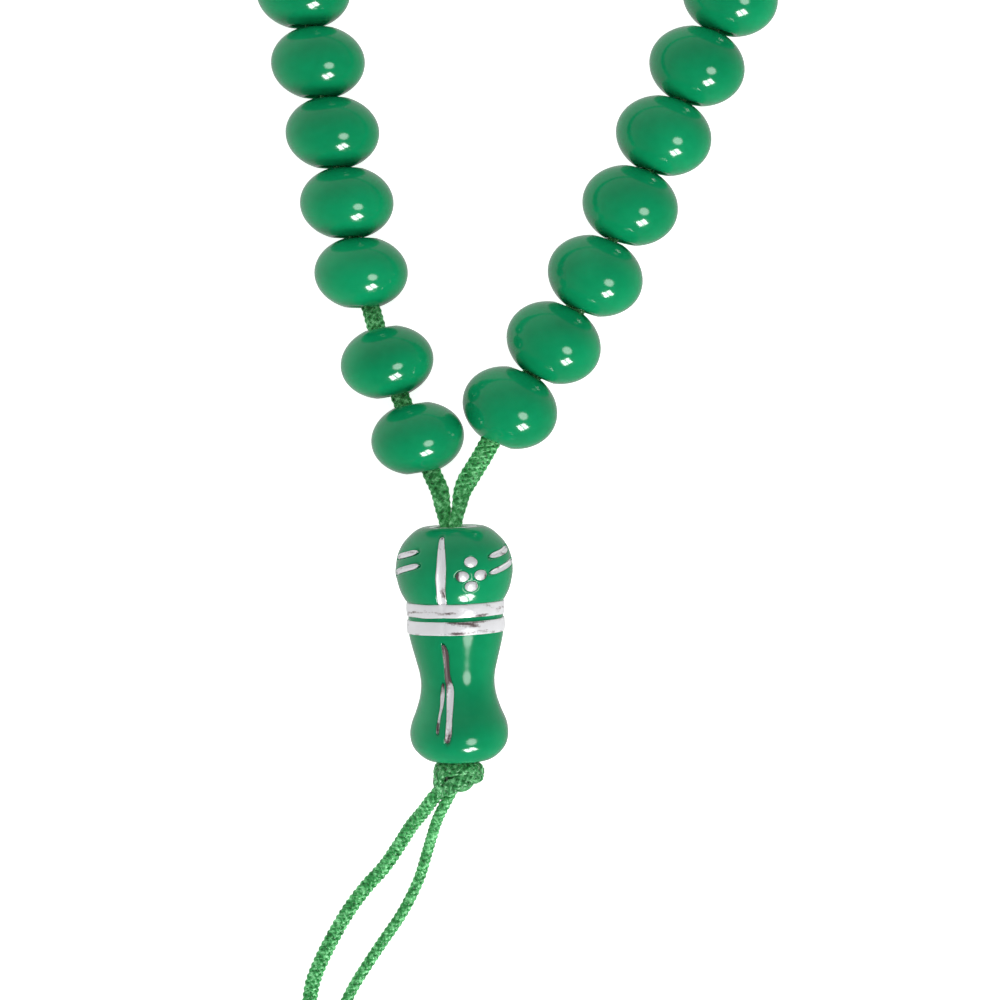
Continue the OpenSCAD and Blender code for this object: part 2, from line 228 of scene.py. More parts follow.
# Silver foil with dull stains, and a painted dark reflection of the camera round the spot that
# faces it. The spot is in the long bead's own millimetres.
def foilPaint(name):
    stretch, dullAt, spot = foilLook[name]
    paint = newPaint(name)
    far = paint.node("ShaderNodeVectorMath", {"operation": "DISTANCE"}, {
        0: paint.place, 1: imamPlace @ Vector(spot)})
    darkReflection = paint.node("ShaderNodeMapRange", {}, {
        "Value": paint.out(far, "Value"), "From Min": foilLook["reflectionWithin"],
        "From Max": foilLook["reflectionUntil"], "To Min": foilLook["reflectionBy"], "To Max": 0.0})
    drawn = paint.node("ShaderNodeMapping", {}, {"Vector": paint.place, "Scale": stretch})
    stains = paint.noise(paint.out(drawn, "Vector"), foilLook["stains"])
    creases = paint.noise(paint.place, foilLook["creases"], 3.0)
    grain = paint.noise(paint.place, foilLook["grain"])
    marked = stains * (1 - foilLook["grainShare"]) + grain * foilLook["grainShare"]
    # the stains plus the painted dark reflection of the camera
    stainsAndReflection = marked + paint.out(darkReflection, "Result")
    tarnishAndReflection = [
        (dullAt + foilLook["brightUntil"], foilLook["bright"]),
        (dullAt, foilLook["dull"]),
        (dullAt + foilLook["darkestFrom"], foilLook["darkest"]),
    ]
    relief = creases + grain * foilLook["grainDepth"]
    return paint.finish({
        "Base Color": paint.ramp(stainsAndReflection, tarnishAndReflection),
        "Metallic": 0.25,
        "Roughness": foilLook["smooth"] + creases * foilLook["creaseDull"],
        "Normal": paint.bump(relief, foilLook["creaseStrength"], foilLook["creaseDepth"]),
    })


cordLook = {
    "along": 0.6, "around": 9.0, "yarns": 2.0, "patches": 2600.0, "yarnShare": 0.45,
    "deepUntil": 0.36, "plainAt": 0.5, "sparkleFrom": 0.62,
    "smooth": 0.3, "patchDull": 0.2, "yarnStrength": 0.3, "yarnDepth": 0.04 * mm,
    # the deep green, the plain one and the painted sparkle of each: a pale green painted highlight
    "braided nylon": ((0.004, 0.11, 0.016), (0.03, 0.39, 0.08), (0.28, 0.85, 0.36)),
    # the knots' copy of the same nylon, painted darker: painted shade in the tight knots
    "shaded knotted nylon": ((0.004, 0.09, 0.014), (0.025, 0.32, 0.07), (0.25, 0.75, 0.32)),
}


# Nylon yarns that run along each strand's own map, with painted highlights where the patches are
# palest.
def cordPaint(name):
    deep, plain, paintedSparkle = cordLook[name]
    paint = newPaint(name)
    unwrapped = paint.out(paint.node("ShaderNodeTexCoord", {}, {}), "UV")
    stretch = (cordLook["along"], cordLook["around"], 1.0)
    drawn = paint.node("ShaderNodeMapping", {}, {"Vector": unwrapped, "Scale": stretch})
    yarns = paint.noise(paint.out(drawn, "Vector"), cordLook["yarns"])
    patches = paint.noise(paint.place, cordLook["patches"])
    mixed = yarns * cordLook["yarnShare"] + patches * (1 - cordLook["yarnShare"])
    # the palest stop is painted sparkle, a painted highlight
    stops = [(cordLook["deepUntil"], deep), (cordLook["plainAt"], plain),
             (cordLook["sparkleFrom"], paintedSparkle)]
    return paint.finish({
        "Base Color": paint.ramp(mixed, stops),
        "Roughness": cordLook["smooth"] + patches * cordLook["patchDull"],
        "Normal": paint.bump(yarns, cordLook["yarnStrength"], cordLook["yarnDepth"]),
        "Sheen Weight": 0.3,
        "Sheen Roughness": 0.35,
        "Specular IOR Level": 0.7,
    })


def floorPaint():
    paint = newPaint("white table")
    grain = paint.noise(paint.place, 60.0)
    whites = [(0.0, (0.9, 0.9, 0.89)), (1.0, (0.92, 0.92, 0.91))]
    return paint.finish({
        "Base Color": paint.ramp(grain, whites),
        "Roughness": 0.7,
        "Specular IOR Level": 0.1,
        "Emission Color": (1.0, 1.0, 0.985, 1.0),
        "Emission Strength": 0.8,
    })


def newObject(name, bm, paint):
    mesh = bpy.data.meshes.new(name)
    bm.to_mesh(mesh)
    bm.free()
    mesh.materials.append(paint)
    for face in mesh.polygons:
        face.use_smooth = True
    piece = bpy.data.objects.new(name, mesh)
    bpy.context.scene.collection.objects.link(piece)
    return piece


def settle(piece, body, slot, *nodes):
    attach(piece, body)
    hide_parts(*nodes)


# The same line with its points about a step apart.
def evenly(line, step):
    nothing = 1e-9
    reach = [0.0]
    for a, b in zip(line, line[1:]):
        reach.append(reach[-1] + (b - a).length)
    count = max(2, round(reach[-1] / step))
    spaced, k = [], 0
    for i in range(count + 1):
        want = reach[-1] * i / count
        while k < len(line) - 2 and reach[k + 1] < want:
            k += 1
        part = (want - reach[k]) / max(nothing, reach[k + 1] - reach[k])
        spaced.append(line[k].lerp(line[k + 1], part))
    return spaced


# A smooth curve through given points, with points a step apart.
def smoothLine(points, step):
    ends = [2 * points[0] - points[1], *points, 2 * points[-1] - points[-2]]
    fine = []
    for a, b, c, d in zip(ends, ends[1:], ends[2:], ends[3:]):
        parts = max(3, round(3 * (c - b).length / step))
        for i in range(parts):
            t = i / parts
            bent = (2 * a - 5 * b + 4 * c - d) * t * t + (3 * b - a - 3 * c + d) * t ** 3
            fine.append((2 * b + (c - a) * t + bent) / 2)
    fine.append(points[-1])
    return evenly(fine, step)


# A tube along a line. Each ring's flat side faces the way that facing gives.
def addTube(bm, line, facing, wide, tall, sides):
    sheet = bm.loops.layers.uv.verify()
    rings, reach = [], [0.0]
    last = len(line) - 1
    for i, point in enumerate(line):
        ahead = (line[min(i + 1, last)] - line[max(i - 1, 0)]).normalized()
        side = ahead.cross(facing[i]).normalized()
        top = side.cross(ahead)
        turns = [fullTurn * j / sides for j in range(sides)]
        spots = [point + side * wide * math.cos(t) + top * tall * math.sin(t) for t in turns]
        rings.append([bm.verts.new(spot) for spot in spots])
        if i:
            reach.append(reach[-1] + (point - line[i - 1]).length / mm)
    for i, (a, b) in enumerate(zip(rings, rings[1:])):
        for j in range(sides):
            k = (j + 1) % sides
            face = bm.faces.new((a[j], a[k], b[k], b[j]))
            corners = ((i, j), (i, j + 1), (i + 1, j + 1), (i + 1, j))
            for loop, (along, around) in zip(face.loops, corners):
                loop[sheet].uv = (reach[along], around / sides)
    bm.faces.new(rings[0][::-1])
    bm.faces.new(rings[-1])


# A braid of strands that wind both ways over and under each other, round a core.
def addBraid(bm, line, facing, look, wideAt):
    each = look["eachWay"]
    step = look["lay"] / look["perTurn"]
    line = evenly(line, step)
    last = len(line) - 1
    sides, tops = [], []
    for i, point in enumerate(line):
        ahead = (line[min(i + 1, last)] - line[max(i - 1, 0)]).normalized()
        sides.append(ahead.cross(facing(point)).normalized())
        tops.append(sides[-1].cross(ahead))
    for way in (1, -1):
        for k in range(each):
            strand, outward = [], []
            for i, point in enumerate(line):
                wound = fullTurn * i / look["perTurn"]
                angle = way * wound + fullTurn * k / each
                across = sides[i] * math.cos(angle) * wideAt(i / last)
                off = across + tops[i] * math.sin(angle) * look["tall"]
                sway = off.normalized() * way * look["weave"] * math.cos(each * wound)
                strand.append(point + off * look["ring"] + sway)
                outward.append(off)
            addTube(bm, strand, outward, look["strandWide"], look["strandTall"], look["sides"])
    core = look["ring"] * look["tall"]
    addTube(bm, line, tops, core * wideAt(0.5) / look["tall"], core, coreSides)


coreSides = 8           # of the tube that fills a braid
fineBraid = {
    "eachWay": 6, "lay": 3.2 * mm, "perTurn": 24, "ring": 0.36 * mm, "weave": 0.035 * mm,
    "strandWide": 0.2 * mm, "strandTall": 0.1 * mm, "tall": 0.95, "sides": 6,
}
tailBraid = {
    "eachWay": 4, "lay": 2.0 * mm, "perTurn": 20, "ring": 0.34 * mm, "weave": 0.06 * mm,
    "strandWide": 0.19 * mm, "strandTall": 0.11 * mm, "tall": 0.95, "sides": 6,
}
hiddenBraid = {
    "eachWay": 4, "lay": 2.8 * mm, "perTurn": 12, "ring": 0.34 * mm, "weave": 0.06 * mm,
    "strandWide": 0.2 * mm, "strandTall": 0.12 * mm, "tall": 1.0, "sides": 4,
}
# Each strand is slim up to the mouth and widens past it. In the mouth and inside, it lies so far to
# the right of the long bead's axis and above it. Each bend is a share of the way from the mouth
# to the first stone, and how far it lies to the right.
loopCord = {
    "imamLength": 19.7 * mm, "intoKnot": 1.2 * mm, "insideParts": (1, 0.8, 0.6, 0.4, 0.25, 0.1),
    "slim": 1.3, "slimUntil": 0.49, "widensOver": 0.06, "hiddenWide": 1.05, "legStones": 3,
    "first": {"mouth": (-0.55, -0.42), "inside": (-0.45, -0.4), "wide": 1.9,
              "bends": [(0.25, 0.25), (0.41, 0.42), (0.6, 0.25)]},
    "last": {"mouth": (0.2, 0.45), "inside": (0.45, 0.4), "wide": 2.1,
             "bends": [(0.17, -0.45), (0.34, -0.8), (0.6, -0.45)]},
}


def flatUp(point):
    return up


# One strand from the knot through the long bead to its mouth, then on to its stones.
def legLine(look, stones):
    deep = loopCord["imamLength"] + loopCord["intoKnot"]
    x, z = look["inside"]
    line = [mouth - imamAxis * deep * part + Vector((x, 0, z)) * mm
            for part in loopCord["insideParts"]]
    x, z = look["mouth"]
    start = mouth + Vector((x, 0, z)) * mm
    line.append(start)
    for part, right in look["bends"]:
        line.append(start.lerp(stones[0], part) + Vector((right * mm, 0, 0)))
    return [*line, *stones]


# How wide a strand is at a share of its length.
def strandWidth(look):
    def widthAt(part):
        grown = min(1, max(0, part - loopCord["slimUntil"]) / loopCord["widensOver"])
        return loopCord["slim"] + (look["wide"] - loopCord["slim"]) * grown
    return widthAt


def makeLoopCord(paint):
    centres = [middle(name) for name in stoneNames]
    count = loopCord["legStones"]
    bm = bmesh.new()
    for which, stones in (("first", centres[:count]), ("last", centres[:-count - 1:-1])):
        look = loopCord[which]
        line = smoothLine(legLine(look, stones), lineStep)
        addBraid(bm, line, flatUp, fineBraid, strandWidth(look))
    hidden = smoothLine(centres[count - 1:1 - count], lineStep)
    addBraid(bm, hidden, flatUp, hiddenBraid, lambda part: loopCord["hiddenWide"])
    settle(newObject("loop_braid", bm, paint), "cord", "braided_cord", "loop_cord")


# The route of each free end in metres: right and ahead of the knot's middle, and above where it
# lies. It drops to the table and lies there.
tails = {
    "first": {"inKnot": (-1.2, -0.7, 0.1), "wide": (1.3, 1.6), "route": [
        (-0.0022, -0.0015, 0.0035), (-0.0032, -0.0028, 0.0026), (-0.0043, -0.0041, 0.0016),
        (-0.00535, -0.0057, 0.0007), (-0.0067, -0.0076, 0), (-0.00832, -0.0093, 0),
        (-0.00983, -0.0112, 0), (-0.0111, -0.0132, 0), (-0.0122, -0.0152, 0),
        (-0.0131, -0.0173, 0), (-0.01345, -0.0194, 0), (-0.0136, -0.0215, 0),
        (-0.0138, -0.0235, 0), (-0.0142, -0.0255, 0), (-0.015, -0.0274, 0),
    ]},
    "last": {"inKnot": (-0.7, -1.0, 0), "wide": (1.0, 1.0), "route": [
        (-0.00145, -0.0023, 0.0035), (-0.0021, -0.0036, 0.0026), (-0.00258, -0.005, 0.0016),
        (-0.0031, -0.0066, 0.0007), (-0.00368, -0.0084, 0), (-0.00453, -0.0102, 0),
        (-0.0056, -0.012, 0), (-0.007, -0.0139, 0), (-0.00835, -0.0158, 0),
        (-0.00968, -0.0178, 0), (-0.0107, -0.0198, 0), (-0.0115, -0.0218, 0),
        (-0.0122, -0.0238, 0), (-0.0129, -0.0258, 0), (-0.0138, -0.0278, 0),
    ]},
    "level": 0.0005, "length": 0.0335, "thick": 0.001, "intoEnd": 0.7, "pathEvery": 4,
}


def makeTail(which, paint):
    look = tails[which]
    route = [Vector((knotCentre.x + x, knotCentre.y + y, tails["level"] + z))
             for x, y, z in look["route"]]
    inside = knotCentre + Vector(look["inKnot"]) * mm
    intoEnd = route[-1].lerp(middle("end_knot"), tails["intoEnd"])
    line = smoothLine([inside, *route, intoEnd], lineStep)
    startWide, endWide = look["wide"]
    bm = bmesh.new()
    addBraid(bm, line, flatUp, tailBraid, lambda part: startWide + (endWide - startWide) * part)
    piece = newObject(which + "_tail_braid", bm, paint)
    settle(piece, "tails", "braided_cord", which + "_tail")


# Points of each wrap in millimetres from the knot's middle: right, towards the long bead, up.
knotWraps = {
    "upper": [
        (0.3, 1.1, -0.3), (-1.0, 0.9, -0.9), (-1.75, 0.8, 0), (-1.3, 0.75, 0.95),
        (-0.2, 0.8, 1.4), (0.9, 0.75, 1.1), (1.5, 0.65, 0), (1.0, 0.4, -1.1),
        (-0.3, 0.2, -1.35), (-1.5, 0, -0.7),
    ],
    "slanting": [
        (-1.5, 0, -0.7), (-0.4, -0.2, -1.35), (0.8, 0, -1.0), (1.45, 0.2, 0),
        (1.15, 0.15, 0.95), (0.35, -0.15, 1.45), (-0.6, -0.6, 1.3), (-1.3, -0.95, 0.6),
        (-1.3, -0.9, -0.3),
    ],
    "left": [
        (-0.9, 1.0, 0.7), (-1.6, 0.5, 0.75), (-1.8, -0.1, 0.6), (-1.8, -0.7, 0.35),
        (-1.8, -1.3, 0.1),
    ],
    "core": 1.25, "coreFine": 3, "wide": 1.35, "endTurn": -22, "endSize": 0.8,
}
knotBraid = {
    "eachWay": 5, "lay": 3.2 * mm, "perTurn": 20, "ring": 0.4 * mm, "weave": 0.05 * mm,
    "strandWide": 0.2 * mm, "strandTall": 0.11 * mm, "tall": 0.9, "sides": 6,
}


def makeKnot(name, node, body, turn, size, paint):
    turned = Matrix.Rotation(math.radians(turn), 4, "Z") @ Matrix.Scale(size, 4)
    place = Matrix.Translation(middle(node)) @ turned
    bm = bmesh.new()
    for wrap in ("upper", "slanting", "left"):
        line = smoothLine([Vector(p) * mm for p in knotWraps[wrap]], lineStep)
        addBraid(bm, line, lambda point: point, knotBraid, lambda part: knotWraps["wide"])
    bmesh.ops.create_icosphere(bm, subdivisions=knotWraps["coreFine"],
                               radius=knotWraps["core"] * mm)
    bmesh.ops.transform(bm, matrix=place, verts=bm.verts)
    piece = newObject(name, bm, paint)
    settle(piece, body, "cord_knot", node)
    return piece


stone = {
    "rim": 1.4 * mm, "rimRound": 0.3 * mm, "hole": 1.02 * mm,
    "turns": 64, "outlineParts": 30, "rimParts": 4,
    "dent": 0.008 * mm, "dentScale": 320, "dentShift": 90, "seed": 33,      # how uneven they are
}


# The direction in plan along which a round stone is thinnest, and its thickness that way.
def thinnest(node):
    spots = np.array([v.co[:2] for v in frame["nodes"][node].data.vertices])
    headings = np.radians(np.arange(0, 180, 0.1))       # a tenth of a degree apart
    reach = np.ptp(spots @ np.stack([np.sin(headings), np.cos(headings)]), axis=0)
    best = headings[reach.argmin()]
    return Vector((math.sin(best), math.cos(best), 0)), float(reach.min())


# An oval outline that closes on the hole's rounded rim.
def stoneOutline(wide, thick):
    a, half = wide / 2, thick / 2
    rim, rounding, hole = stone["rim"], stone["rimRound"], stone["hole"]
    b = half / math.sqrt(1 - (rim / a) ** 2)
    start = math.asin(rim / a)
    parts, rimParts = stone["outlineParts"], stone["rimParts"]
    sweep = [start + (math.pi - 2 * start) * i / parts for i in range(parts + 1)]
    outer = [(a * math.sin(t), b * math.cos(t)) for t in sweep]
    turns = [math.pi / 2 * i / rimParts for i in range(1, rimParts + 1)]
    under = [(rim - (rim - hole) * math.sin(t), -half + rounding * (1 - math.cos(t)))
             for t in turns]
    over = [(x, -z) for x, z in reversed(under)]
    return [*outer, *under, (hole, 0), *over]


# A closed ring from its outline of (radius, height).
def spinOutline(bm, outline, turns):
    spots = [bm.verts.new((x, 0, z)) for x, z in outline]
    edges = [bm.edges.new((a, b)) for a, b in zip(spots, spots[1:] + spots[:1])]
    bmesh.ops.spin(bm, geom=[*spots, *edges], cent=(0, 0, 0), axis=(0, 0, 1), dvec=(0, 0, 0),
                   angle=fullTurn, steps=turns, use_merge=True, use_duplicate=False)
    bmesh.ops.remove_doubles(bm, verts=bm.verts, dist=weldGap)
    bmesh.ops.recalc_face_normals(bm, faces=bm.faces)


def makeStone(node, seed, paint, slot):
    axis, thick = thinnest(node)
    low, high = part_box(node)
    bm = bmesh.new()
    spinOutline(bm, stoneOutline(high.z - low.z, thick), stone["turns"])
    shift = Vector([seed.uniform(0, stone["dentShift"]) for _ in range(3)])
    for v in bm.verts:
        uneven = 1 + noise.noise(v.co * stone["dentScale"] + shift)
        v.co -= v.co.normalized() * stone["dent"] * uneven
    place = axis.to_track_quat("Z", "Y").to_matrix().to_4x4()
    bmesh.ops.transform(bm, matrix=Matrix.Translation((low + high) / 2) @ place, verts=bm.verts)
    settle(newObject("jade_" + node, bm, paint), node, slot, node)


# Radius and height in millimetres, from the hole at the foot, up the outside, into the mouth.
imam = {
    "outline": [
        (1.3, 0.5), (1.42, 0.12), (1.8, 0), (2.6, 0.1), (3.35, 0.6), (3.92, 1.35), (4.12, 2.3),
        (3.97, 3.25), (3.58, 4.25), (3.24, 5.3), (3.08, 6.35), (3.15, 7.35), (3.37, 8.3),
        (3.63, 9.3), (3.85, 10.2), (3.96, 10.9), (3.97, 12.1), (3.98, 13.3), (4.2, 13.65),
        (4.55, 14.35), (4.8, 15.25), (4.9, 16.1), (4.74, 17.25), (4.26, 18.3), (3.4, 19.2),
        (2.7, 19.6), (2.2, 19.66), (1.85, 19.5), (1.6, 19.1), (1.32, 17.4), (1.3, 16.5),
    ],
    "outerFrom": 2.6, "outerSlack": 0.01, "fine": 0.13, "turns": 216, "holeParts": 12,
    "rimMiddle": 19.605,      # height of the mouth ring's middle above the foot
    "groove": 0.2, "grooveEdge": 0.1, "foilDepth": 0.13, "foilLip": 0.03, "foilThick": 0.08,
    "slopeStep": 0.1,         # either side of a height, for the slope there
}


# Each mark is a line of (angle round from the front, height, half width); a dot is (angle, height).
marks = {
    "stripes": [
        [(-14, 19.0, 0.17), (-12.4, 17.9, 0.3), (-12, 16.8, 0.38), (-12.8, 15.8, 0.42),
         (-13.8, 14.6, 0.37), (-14.6, 13.3, 0.38)],
    ],
    "streaks": [
        [(-16.5, 10.1, 0.12), (-14.2, 9.4, 0.22), (-14.4, 8.2, 0.2), (-14.4, 7.3, 0.22),
         (-11.6, 6.3, 0.3), (-11.4, 5.2, 0.28), (-11.5, 3.9, 0.23), (-11.8, 2.8, 0.26),
         (-14.2, 1.95, 0.2)],
        [(-22.6, 6.8, 0.08), (-23.6, 5.9, 0.17), (-23.8, 5.0, 0.13), (-25.2, 4.1, 0.09),
         (-25.6, 2.7, 0.12)],
    ],
    "dashes": [
        [(-80, 17.3, 0.22), (-60, 17.55, 0.23), (-41, 17.86, 0.22)],
        [(-82, 15.95, 0.22), (-60, 16.35, 0.23), (-37, 16.76, 0.22)],
    ],
    "dots": [(17.4, 16.96), (8.3, 15.8), (27, 15.85), (17.6, 14.95)],
    "dotWide": 0.56, "dotTall": 0.42, "dotSides": 24, "dotRings": 3, "dotInset": 0.25,
    "repeats": 3, "drawnRadius": 4.5, "fine": 0.12, "columns": 8, "endWide": 0.1,
    "besideTurn": 0.6, "besideHeight": 0.7,     # past these a mark is too far away to matter
}

imamProfile = smoothLine([Vector((r, 0, z)) for r, z in imam["outline"]], imam["fine"])
outerWall = [p for p in imamProfile if p.x > imam["outerFrom"] - imam["outerSlack"]]
# From the long bead's own millimetres, with its foot at 0 and its front towards -y, to its place.
imamPlace = Matrix((
    (1, 0, 0, mouth.x),
    (0, imamAxis.z, imamAxis.y, mouth.y - imamAxis.y * imam["rimMiddle"] * mm),
    (0, -imamAxis.y, imamAxis.z, mouth.z - imamAxis.z * imam["rimMiddle"] * mm),
    (0, 0, 0, 1),
)) @ Matrix.Scale(mm, 4)


# The outside radius at a height.
def radiusAt(height):
    return float(np.interp(height, [p.z for p in outerWall], [p.x for p in outerWall]))


# A point on the outside, lifted off it.
def onImam(angle, height, lift):
    step = imam["slopeStep"]
    tilt = (radiusAt(height + step) - radiusAt(height - step)) / (2 * step)
    away = Vector((1, 0, -tilt)).normalized() * lift
    r = radiusAt(height) + away.x
    return Vector((r * math.sin(angle), -r * math.cos(angle), height + away.z))


# The middle line of a mark as (angle, half width, height), smooth and close together.
def strokeLine(stroke, repeat):
    turn = fullTurn * repeat / marks["repeats"]
    radius = marks["drawnRadius"]
    points = [Vector((math.radians(a) * radius, w, z)) for a, z, w in stroke]
    line = smoothLine(points, marks["fine"])
    return [Vector((p.x / radius + turn, p.y, p.z)) for p in line]


def strokesOf(kind):
    return [strokeLine(s, i) for s in marks[kind] for i in range(marks["repeats"])]


def dotPlaces():
    turn = fullTurn / marks["repeats"]
    return [(math.radians(a) + turn * i, z)
            for a, z in marks["dots"] for i in range(marks["repeats"])]


def turnBetween(a, b):
    return (a - b + math.pi) % fullTurn - math.pi


# How much of the full depth a groove has so far outside its edge: half at the edge itself.
def grooveShare(outside):
    return min(1, max(0, 0.5 - outside / imam["grooveEdge"]))


# How deep the jade is cut at a point, for the foil to lie in.
def cutDepth(angle, height, strokes, dots):
    r, deepest = radiusAt(height), 0.0
    for line in strokes:
        low, high = sorted((line[0].z, line[-1].z))
        if not low - marks["besideHeight"] < height < high + marks["besideHeight"]:
            continue
        if abs(turnBetween(angle, line[len(line) // 2].x)) > marks["besideTurn"]:
            continue
        outside = min(math.hypot(r * turnBetween(angle, p.x), height - p.z) - p.y for p in line)
        deepest = max(deepest, grooveShare(outside))
    for a, z in dots:
        across = r * turnBetween(angle, a) / marks["dotWide"]
        outside = (math.hypot(across, (height - z) / marks["dotTall"]) - 1) * marks["dotTall"]
        deepest = max(deepest, grooveShare(outside))
    return deepest * imam["groove"]


def makeImamBody(paint):
    parts = imam["holeParts"]
    bore = [imamProfile[-1].lerp(imamProfile[0], i / parts) for i in range(1, parts)]
    bm = bmesh.new()
    spinOutline(bm, [(p.x, p.z) for p in [*imamProfile, *bore]], imam["turns"])
    strokes = [*strokesOf("stripes"), *strokesOf("streaks"), *strokesOf("dashes")]
    dots = dotPlaces()
    for v in bm.verts:
        r = math.hypot(v.co.x, v.co.y)
        if r < imam["outerFrom"]:
            continue
        angle = math.atan2(v.co.x, -v.co.y)
        cut = cutDepth(angle, v.co.z, strokes, dots)
        if cut:
            v.co = onImam(angle, v.co.z, -cut)
    bmesh.ops.transform(bm, matrix=imamPlace, verts=bm.verts)
    settle(newObject("jade_imam_body", bm, paint), "imam", "jade_imam", "imam_body")


# Thickens a foil sheet into the jade and closes it.
def thicken(bm, faces):
    raised = bmesh.ops.extrude_face_region(bm, geom=faces, use_keep_orig=True)
    for v in (g for g in raised["geom"] if isinstance(g, bmesh.types.BMVert)):
        inward = Vector((-v.co.x, -v.co.y, 0)).normalized()
        v.co += inward * imam["foilThick"]
    bmesh.ops.recalc_face_normals(bm, faces=bm.faces)


# The foil's height above the jade: a trough with a small lip.
def foilLift(across):
    return imam["foilLip"] - (imam["foilLip"] + imam["foilDepth"]) * (1 - across * across)


# A foil strip along a mark's line, rounded at both ends.
def addStroke(bm, line):
    last = len(line) - 1
    made = bmesh.ops.create_grid(bm, x_segments=marks["columns"], y_segments=last, size=1)
    for v in made["verts"]:
        across = v.co.x
        i = round((v.co.y + 1) / 2 * last)
        p, before, after = line[i], line[max(0, i - 1)], line[min(last, i + 1)]
        r = radiusAt(p.z)
        ahead = Vector((r * (after.x - before.x), after.z - before.z)).normalized()
        gone = min(i, last - i) * (line[1] - line[0]).length
        end = max(0.0, 1 - gone / p.y)
        wide = p.y * max(marks["endWide"], math.sqrt(1 - end * end))
        angle = p.x + ahead.y * across * wide / r
        v.co = onImam(angle, p.z - ahead.x * across * wide, foilLift(across))


# A round foil sheet of rings, pressed in like a dish.
def addDot(bm, angle, height):
    made = bmesh.ops.create_circle(bm, cap_ends=True, cap_tris=False,
                                   segments=marks["dotSides"], radius=1)
    spots = set(made["verts"])
    face = made["verts"][0].link_faces[0]
    for _ in range(marks["dotRings"]):
        inner = bmesh.ops.inset_region(bm, faces=[face], thickness=marks["dotInset"],
                                       use_even_offset=True)
        spots.update(v for f in [face, *inner["faces"]] for v in f.verts)
    spots.update(bmesh.ops.poke(bm, faces=[face])["verts"])
    for v in spots:
        x, y = v.co.x, v.co.y
        across = x * marks["dotWide"] / radiusAt(height)
        lift = foilLift(min(1, math.hypot(x, y)))
        v.co = onImam(angle + across, height + y * marks["dotTall"], lift)


def makeFoil(name, node, fill, paint):
    bm = bmesh.new()
    fill(bm)
    thicken(bm, list(bm.faces))
    bmesh.ops.transform(bm, matrix=imamPlace, verts=bm.verts)
    settle(newObject(name, bm, paint), "imam", "silver_foil", node)


def strokeFill(kind):
    def fill(bm):
        for line in strokesOf(kind):
            addStroke(bm, line)
    return fill


def fillDots(bm):
    for angle, height in dotPlaces():
        addDot(bm, angle, height)


# The heights of both bands' middles, their half height and their radii in millimetres.
band = {
    "upper": 12.865, "lower": 11.415, "half": 0.55, "inner": 3.8, "face": 4.07, "crown": 0.05,
    "edgeRound": 0.06, "innerShare": 0.96, "faceParts": 10, "turns": 216,
    "waver": 0.05, "waverScale": 2, "ripple": 0.02, "rippleScale": 9, "rippleRise": 2,
    "seam": -14, "seamWide": 2.2, "seamDeep": 0.07,
}


def makeBand(which, paint):
    half, face, centre = band["half"], band["face"], band[which]
    edge, innerHalf = face - band["edgeRound"], half * band["innerShare"]
    steps = [half * (2 * i / band["faceParts"] - 1) for i in range(band["faceParts"] + 1)]
    faceSpots = [(face + band["crown"] * (1 - (t / half) ** 2), centre + t) for t in steps]
    shape = [(band["inner"], centre - innerHalf), (edge, centre - half), *faceSpots,
             (edge, centre + half), (band["inner"], centre + innerHalf)]
    bm = bmesh.new()
    spinOutline(bm, shape, band["turns"])
    for v in bm.verts:
        angle = math.atan2(v.co.x, -v.co.y)
        away = Vector((v.co.x, v.co.y, 0)).normalized()
        wave = noise.noise(away * band["waverScale"] + up * centre)
        ripple = noise.noise(away * band["rippleScale"] + up * v.co.z * band["rippleRise"])
        seam = turnBetween(angle, math.radians(band["seam"])) / math.radians(band["seamWide"])
        dent = math.exp(-seam * seam) * band["seamDeep"]
        v.co += away * (ripple * band["ripple"] - dent)
        v.co.z += wave * band["waver"]
    bmesh.ops.transform(bm, matrix=imamPlace, verts=bm.verts)
    piece = newObject("foil_" + which + "_band", bm, paint)
    settle(piece, "imam", "silver_foil", "imam_" + which + "_band")


mouthRing = {
    "radius": 1.86, "height": 19.56, "wide": 0.14, "tall": 0.1, "sides": 12, "turns": 96,
    "waver": 0.05,
}


def makeMouthRing(paint):
    turns = [fullTurn * i / mouthRing["sides"] for i in range(mouthRing["sides"])]
    shape = [(mouthRing["radius"] + mouthRing["wide"] * math.cos(t),
              mouthRing["height"] + mouthRing["tall"] * math.sin(t)) for t in turns]
    bm = bmesh.new()
    spinOutline(bm, shape, mouthRing["turns"])
    for v in bm.verts:
        v.co.z += noise.noise(v.co) * mouthRing["waver"]
    bmesh.ops.transform(bm, matrix=imamPlace, verts=bm.verts)
    settle(newObject("foil_mouth_ring", bm, paint), "imam", "silver_foil", "imam_mouth_rim")


studio = {
    "tableHalf": 2.0,
    "keyWay": (0.335, -0.857, 0.389), "keyFar": 0.5, "keyTurn": 12, "keyPower": 0.86,
    "paneWide": 0.085, "paneTall": 0.16, "paneApart": 0.052,
    "lampWay": Vector((0.47, -0.42, 0.776)), "lampEdge": (0.97, 0.99), "lampGlow": 5.5,
    "topWay": (-0.1, 0.45, 0.89), "topFar": 0.9, "topSize": 1.2, "topPower": 3.8,
    "around": (0.42, 0.42, 0.43), "backWall": (-0.5, 0.85, 0.0),
    "mirrored": [(0.05, (0.03, 0.03, 0.03)), (0.5, (0.16, 0.16, 0.16)), (0.95, (0.42, 0.42, 0.42))],
}


